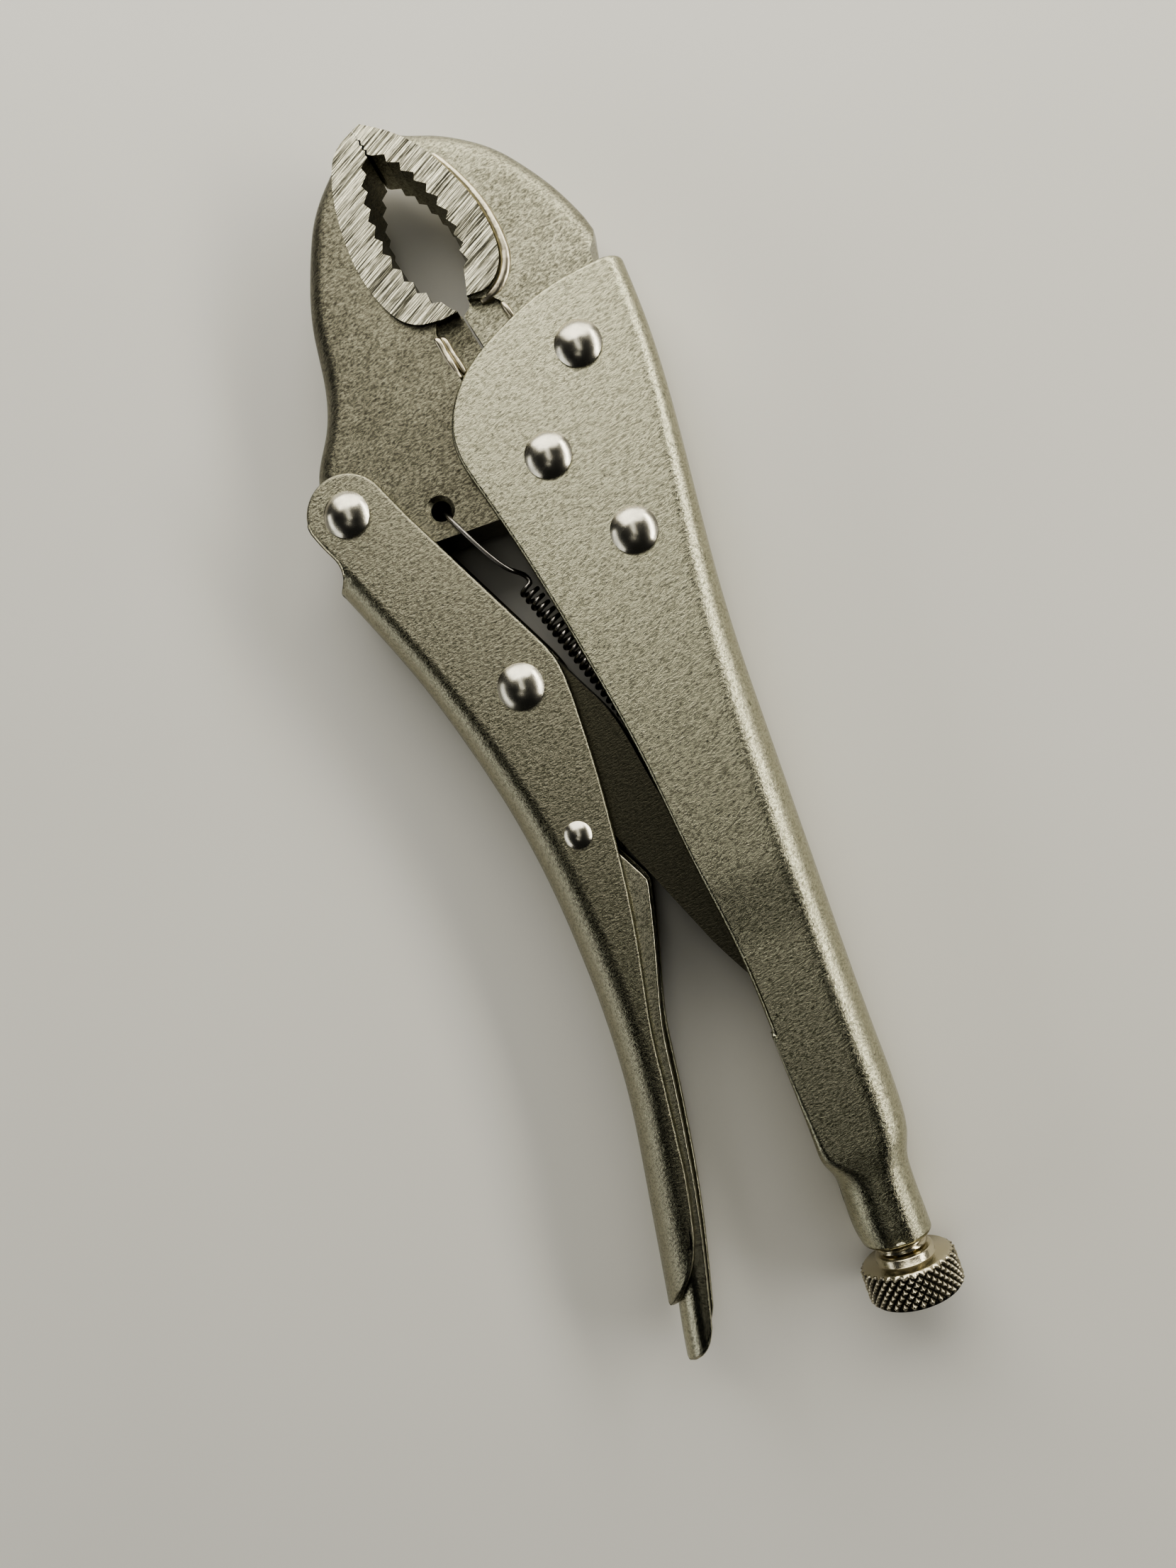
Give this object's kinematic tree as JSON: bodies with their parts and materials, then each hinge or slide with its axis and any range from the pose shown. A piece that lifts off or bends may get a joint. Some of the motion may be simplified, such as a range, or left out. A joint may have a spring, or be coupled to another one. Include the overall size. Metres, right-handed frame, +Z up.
{
  "type": "locking pliers",
  "caption": "Curved-jaw locking pliers: toothed jaws with a wire cutter, pressed-steel handles, toggle link, return spring, release lever and knurled adjusting screw.",
  "frame": {"origin": "middle of the box at its base: the pliers lie flat and rest on their rivet heads, jaws closed", "axes": "+X from the jaws to the adjusting knob, parallel to the screw; +Y from the lever to the fixed handle; +Z up, along every rivet"},
  "size_m": [0.2468, 0.0748, 0.0203],
  "materials": {
    "handle_nickel": "satin nickel plate with a fine orange-peel texture",
    "lever_nickel": "satin nickel plate with a fine orange-peel texture",
    "release_nickel": "satin nickel plate",
    "jaw_nickel": "satin nickel plate, ground bright round the mouth",
    "link_nickel": "satin nickel plate",
    "screw_steel": "bright cut thread",
    "knob_bright": "bright nickel over diamond knurling",
    "rivet_polished": "polished domes",
    "spring_wire": "drawn spring wire"
  },
  "bodies": {
    "handle": {"fixed_handle": "handle_nickel", "fixed_jaw": "jaw_nickel", "fixed_jaw_front_rivet": "rivet_polished", "fixed_jaw_rear_rivet": "rivet_polished", "jaw_pivot_rivet": "rivet_polished", "return_spring": "spring_wire"},
    "jaw": {"moving_jaw": "jaw_nickel"},
    "lever_body": {"lever": "lever_nickel", "lever_pivot_rivet": "rivet_polished", "link_pivot_rivet": "rivet_polished", "release_lever_rivet": "rivet_polished"},
    "link": {"toggle_link": "link_nickel"},
    "release": {"release_lever": "release_nickel"},
    "screw": {"adjusting_screw": "screw_steel"},
    "knob": {"adjusting_knob": "knob_bright"}
  },
  "joints": [
    {"name": "jaw_pivot", "type": "hinge", "parent": "handle", "child": "jaw", "pos_m": [-0.0482, 0.01145, 0.01015], "axis": [0, 0, 1], "range_deg": [0, 20], "deforming": ["return_spring"]},
    {"name": "lever_pivot", "type": "hinge", "parent": "jaw", "child": "lever_body", "pos_m": [-0.0515, -0.02906, 0.01015], "axis": [0, 0, 1], "range_deg": [-54.5, 0]},
    {"name": "link_pivot", "type": "hinge", "parent": "lever_body", "child": "link", "pos_m": [-0.0087, -0.00785, 0.01015], "axis": [0, 0, 1], "range_deg": [0, 57.5]},
    {"name": "release_pivot", "type": "hinge", "parent": "lever_body", "child": "release", "pos_m": [0.0214, -0.00675, 0.01015], "axis": [0, 0, 1], "range_deg": [0, 3]},
    {"name": "screw_feed", "type": "slide", "parent": "handle", "child": "screw", "axis": [1, 0, 0], "range_m": [0, 0.018]},
    {"name": "knob_turn", "type": "hinge", "parent": "screw", "child": "knob", "pos_m": [0.1198, 0.02515, 0.01015], "axis": [1, 0, 0], "range_deg": [0, 4320]}
  ],
  "couplings": [
    {"joint": "lever_pivot", "follows": "jaw_pivot", "ratio": -2.701},
    {"joint": "link_pivot", "follows": "jaw_pivot", "ratio": 2.858},
    {"joint": "knob_turn", "follows": "screw_feed", "rad_per_m": 4188.8}
  ]
}
